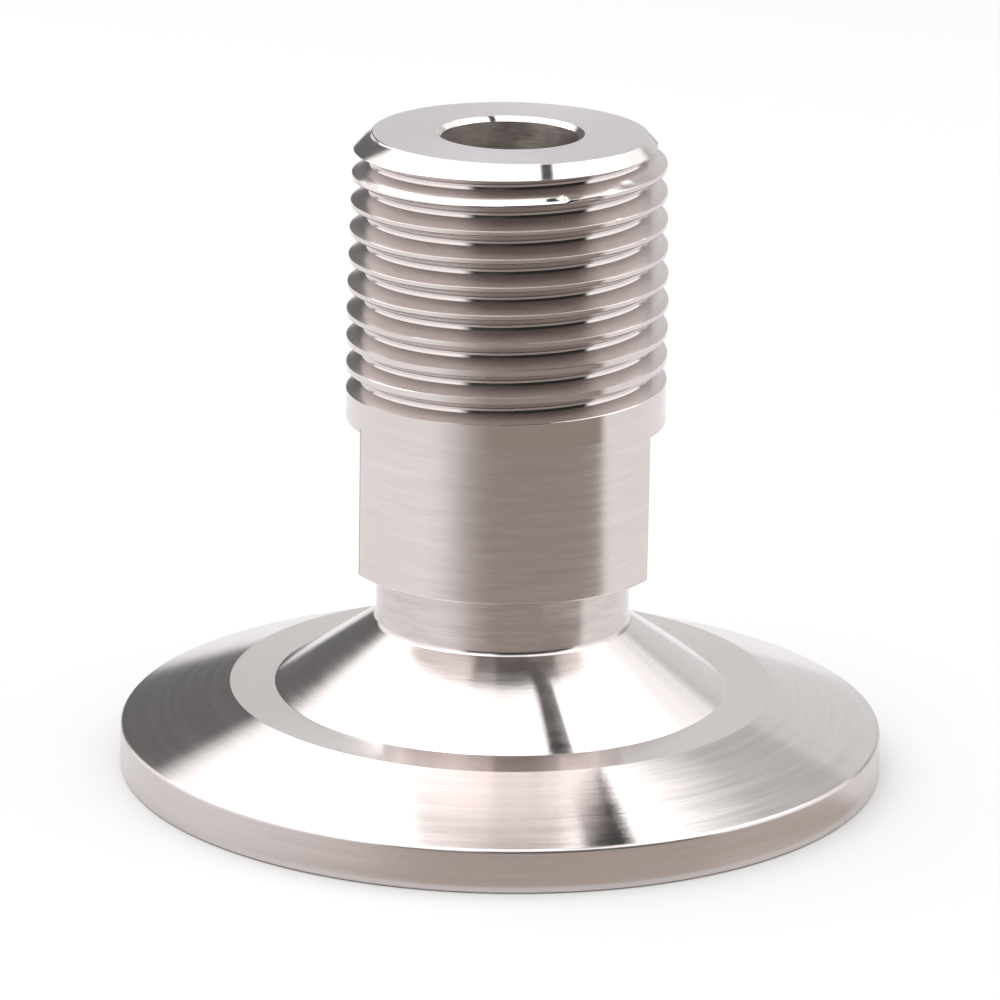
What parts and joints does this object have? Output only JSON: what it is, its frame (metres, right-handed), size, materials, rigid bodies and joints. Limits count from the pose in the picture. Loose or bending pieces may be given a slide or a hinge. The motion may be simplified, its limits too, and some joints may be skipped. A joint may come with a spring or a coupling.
{
  "type": "sanitary clamp threaded adapter",
  "caption": "Turned fitting with a clamp flange at one end, a stem with two wrench flats, a tapered pipe thread at the other end and a bore straight through.",
  "frame": {"origin": "middle of the clamp flange's sealing face, on the axis of the bore", "axes": "+Z along the axis, from the sealing face to the threaded nose; the wrench flats face +X and -X"},
  "size_m": [0.0505, 0.0504, 0.0428],
  "materials": {
    "stainless_steel": "turned and polished, with fine tool lines round the axis"
  },
  "bodies": {
    "root": {"adapter": "stainless_steel"}
  },
  "joints": []
}
